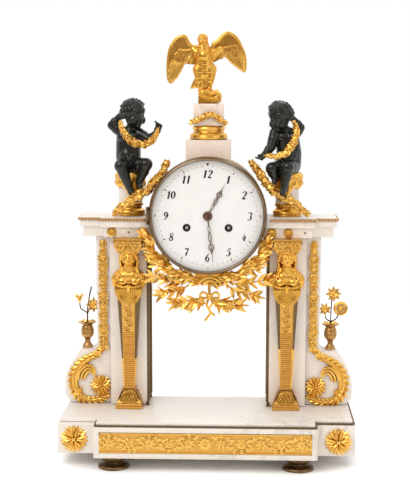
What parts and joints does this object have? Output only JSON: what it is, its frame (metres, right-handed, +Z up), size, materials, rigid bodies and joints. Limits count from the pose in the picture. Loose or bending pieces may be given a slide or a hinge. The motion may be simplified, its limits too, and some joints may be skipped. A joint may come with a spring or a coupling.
{
  "type": "portico mantel clock",
  "caption": "Marble and gilt bronze portico clock with herm pilasters, seated putti, eagle finial, glazed hinged bezel, hands, winding arbors, going train, pendulum and bell.",
  "frame": {"origin": "centre of the footprint on the floor plane under the feet", "axes": "+X to the viewer's right, -Y towards the viewer, +Z up"},
  "size_m": [0.4, 0.15, 0.5818],
  "materials": {
    "marble": "polished white marble with faint grey veins",
    "gilt_bronze": "matte and burnished fire gilding",
    "aged_brass": "brown tarnished brass",
    "dark_bronze": "green-black patinated bronze",
    "polished_brass": "polished movement brass",
    "steel": "plain steel",
    "hand_metal": "dark bronzed pierced hands",
    "enamel": "white vitreous enamel with black numerals",
    "glass": "clear domed glass",
    "bell_metal": "turned bell metal"
  },
  "bodies": {
    "case": {"base_block": "marble", "base_slab": "marble", "base_beads": "aged_brass", "front_plaque": "gilt_bronze", "rosettes": "gilt_bronze", "feet": "aged_brass", "pilaster_left": "marble", "pilaster_right": "marble", "pilaster_trim": "aged_brass", "herm_left": "gilt_bronze", "herm_right": "gilt_bronze", "console_left": "marble", "console_right": "marble", "scroll_mounts": "gilt_bronze", "flower_chutes": "gilt_bronze", "flower_urns": "gilt_bronze", "entablature_left": "marble", "entablature_right": "marble", "cornice_beads": "aged_brass", "cherub_stands": "gilt_bronze", "column_stumps": "marble", "stump_garlands": "gilt_bronze", "cherub_left": "dark_bronze", "cherub_right": "dark_bronze", "hand_garlands": "gilt_bronze", "foot_garlands": "gilt_bronze", "laurel_spray": "gilt_bronze", "tower_block": "marble", "tower_ring": "gilt_bronze", "tower_cap": "marble", "tower_wreath": "gilt_bronze", "eagle": "gilt_bronze", "tie_rod": "steel", "drum_case": "gilt_bronze", "drum_fasteners": "steel", "dial": "enamel", "front_plate": "polished_brass", "back_plate": "polished_brass", "plate_pillars": "polished_brass", "suspension_cock": "polished_brass", "bell": "bell_metal"},
    "bezel_door": {"bezel": "aged_brass", "bezel_glass": "glass"},
    "rear_cover": {"rear_door": "gilt_bronze"},
    "minute_set": {"cannon_pinion": "polished_brass", "minute_hand": "hand_metal"},
    "minute_wheel_set": {"minute_wheel": "polished_brass"},
    "hour_set": {"hour_wheel": "polished_brass", "hour_hand": "hand_metal"},
    "third_set": {"third_arbor": "polished_brass"},
    "escape_set": {"escape_arbor": "polished_brass"},
    "centre_set": {"centre_arbor": "polished_brass"},
    "intermediate_set": {"intermediate_arbor": "polished_brass"},
    "going_barrel_set": {"going_barrel": "polished_brass"},
    "strike_barrel_set": {"strike_barrel": "polished_brass"},
    "going_key": {"going_winder": "steel"},
    "strike_key": {"strike_winder": "steel"},
    "pendulum_set": {"pendulum": "gilt_bronze"},
    "pallet_set": {"pallet_arbor": "steel"},
    "hammer_set": {"hammer": "steel"}
  },
  "joints": [
    {"name": "bezel_hinge", "type": "hinge", "parent": "case", "child": "bezel_door", "pos_m": [-0.0822, -0.0014, 0.335], "axis": [0, 0, -1], "range_deg": [0, 100]},
    {"name": "rear_door_hinge", "type": "hinge", "parent": "case", "child": "rear_cover", "pos_m": [-0.0822, 0.0731, 0.335], "axis": [0, 0, 1], "range_deg": [0, 100]},
    {"name": "minute_turn", "type": "hinge", "parent": "case", "child": "minute_set", "pos_m": [0, 0.03, 0.335], "axis": [0, 1, 0], "continuous": true},
    {"name": "minute_wheel_turn", "type": "hinge", "parent": "case", "child": "minute_wheel_set", "pos_m": [0, 0.03, 0.3518], "axis": [0, 1, 0], "continuous": true},
    {"name": "hour_turn", "type": "hinge", "parent": "case", "child": "hour_set", "pos_m": [0, 0.03, 0.335], "axis": [0, 1, 0], "continuous": true},
    {"name": "third_turn", "type": "hinge", "parent": "case", "child": "third_set", "pos_m": [-0.01119, 0.03, 0.35097], "axis": [0, 1, 0], "continuous": true},
    {"name": "escape_turn", "type": "hinge", "parent": "case", "child": "escape_set", "pos_m": [0, 0.03, 0.36508], "axis": [0, 1, 0], "continuous": true},
    {"name": "centre_turn", "type": "hinge", "parent": "case", "child": "centre_set", "pos_m": [0, 0.03, 0.335], "axis": [0, 1, 0], "continuous": true},
    {"name": "intermediate_turn", "type": "hinge", "parent": "case", "child": "intermediate_set", "pos_m": [0.01859, 0.03, 0.34476], "axis": [0, 1, 0], "continuous": true},
    {"name": "going_barrel_turn", "type": "hinge", "parent": "case", "child": "going_barrel_set", "pos_m": [0.0285, 0.03, 0.319], "axis": [0, 1, 0], "continuous": true},
    {"name": "strike_barrel_turn", "type": "hinge", "parent": "case", "child": "strike_barrel_set", "pos_m": [-0.0285, 0.03, 0.319], "axis": [0, 1, 0], "continuous": true},
    {"name": "going_winding", "type": "hinge", "parent": "case", "child": "going_key", "pos_m": [0.0285, 0.03, 0.319], "axis": [0, 1, 0], "range_deg": [0, 1620]},
    {"name": "strike_winding", "type": "hinge", "parent": "case", "child": "strike_key", "pos_m": [-0.0285, 0.03, 0.319], "axis": [0, 1, 0], "range_deg": [0, 1620]},
    {"name": "pendulum_swing", "type": "hinge", "parent": "case", "child": "pendulum_set", "pos_m": [0, 0.03, 0.38058], "axis": [0, 1, 0], "range_deg": [-3, 3]},
    {"name": "pallet_rock", "type": "hinge", "parent": "case", "child": "pallet_set", "pos_m": [0, 0.03, 0.38058], "axis": [0, 1, 0], "range_deg": [-3, 3]},
    {"name": "hammer_lift", "type": "hinge", "parent": "case", "child": "hammer_set", "pos_m": [0.052, 0.03, 0.311], "axis": [0, 1, 0], "range_deg": [-2.5, 14], "stiffness_Nm_per_rad": 0.02, "springref_deg": -0.57}
  ],
  "couplings": [
    {"joint": "minute_wheel_turn", "follows": "minute_turn", "ratio": -0.33333},
    {"joint": "hour_turn", "follows": "minute_turn", "ratio": 0.083333},
    {"joint": "escape_turn", "follows": "third_turn", "ratio": -14},
    {"joint": "centre_turn", "follows": "third_turn", "ratio": -0.083333},
    {"joint": "intermediate_turn", "follows": "third_turn", "ratio": 0.013889},
    {"joint": "going_barrel_turn", "follows": "third_turn", "ratio": -0.0020833},
    {"joint": "pallet_rock", "follows": "pendulum_swing", "ratio": 1}
  ]
}
